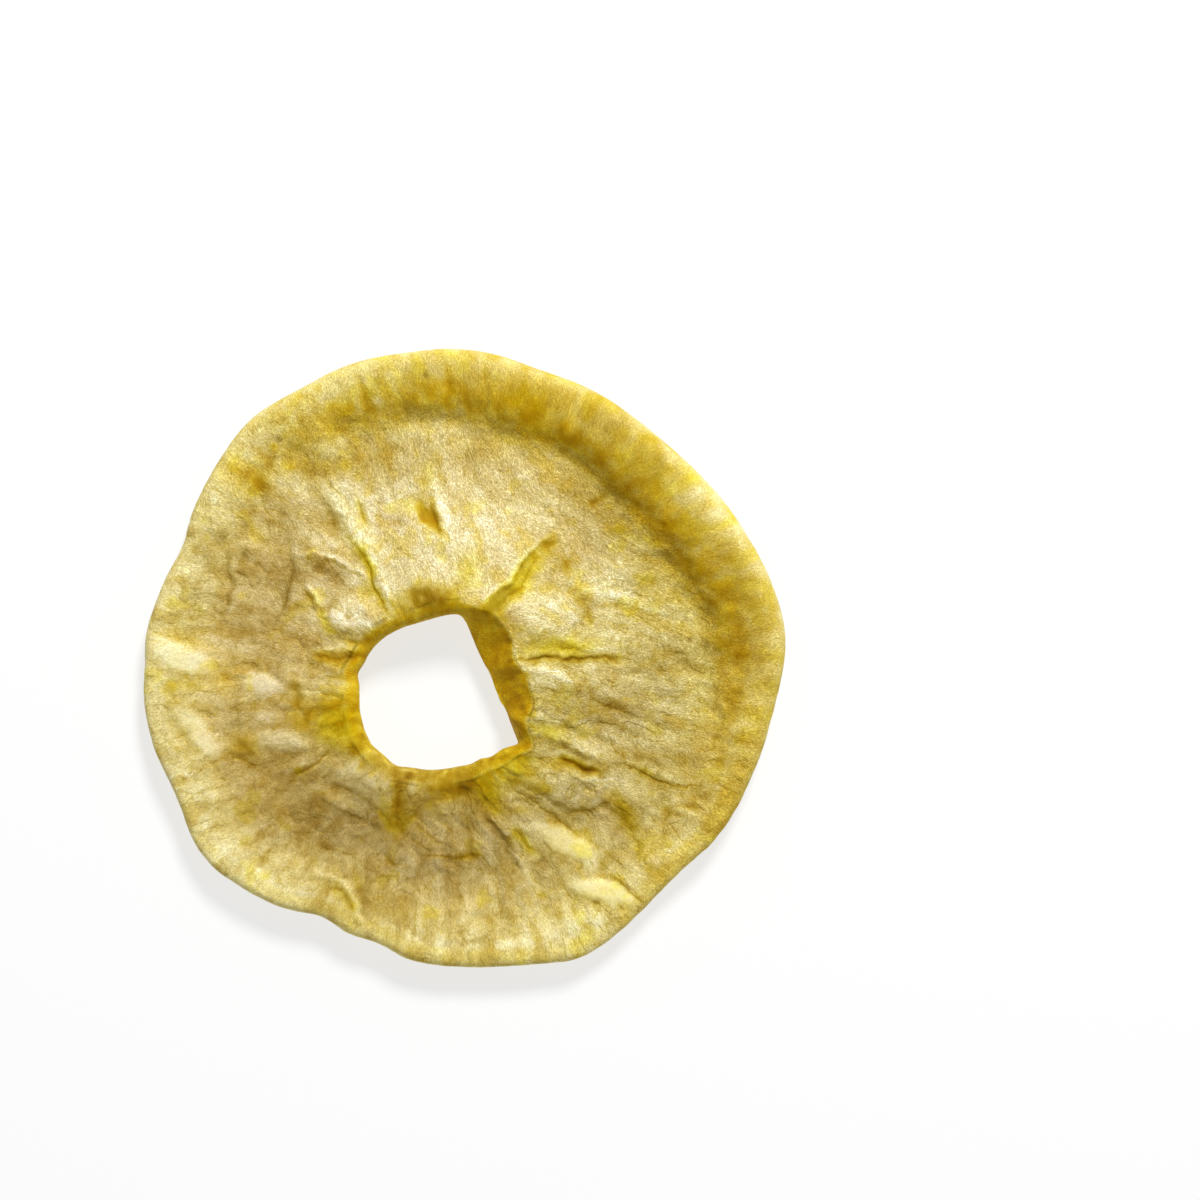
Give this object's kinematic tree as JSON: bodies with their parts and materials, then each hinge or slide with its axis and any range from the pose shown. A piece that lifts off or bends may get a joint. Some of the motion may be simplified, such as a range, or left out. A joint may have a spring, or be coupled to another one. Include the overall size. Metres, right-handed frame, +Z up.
{
  "type": "dried apple ring",
  "caption": "Dried, peeled and cored apple slice: a leathery pale yellow ring with a raised, creased middle, a round hole and an upturned rim.",
  "frame": {"origin": "middle of the ring's footprint, on the surface that it lies on", "axes": "+Z up, out of the face with the raised middle; +X to the right and +Y away across the ring, with the highest curl of the rim towards +X and +Y"},
  "size_m": [0.0684, 0.0658, 0.0074],
  "materials": {
    "dried_flesh": "leathery dried fruit flesh, pale yellow, finely fibrous, amber where it is thin along the hole and in the folds"
  },
  "bodies": {
    "root": {"apple_ring": "dried_flesh"}
  },
  "joints": []
}
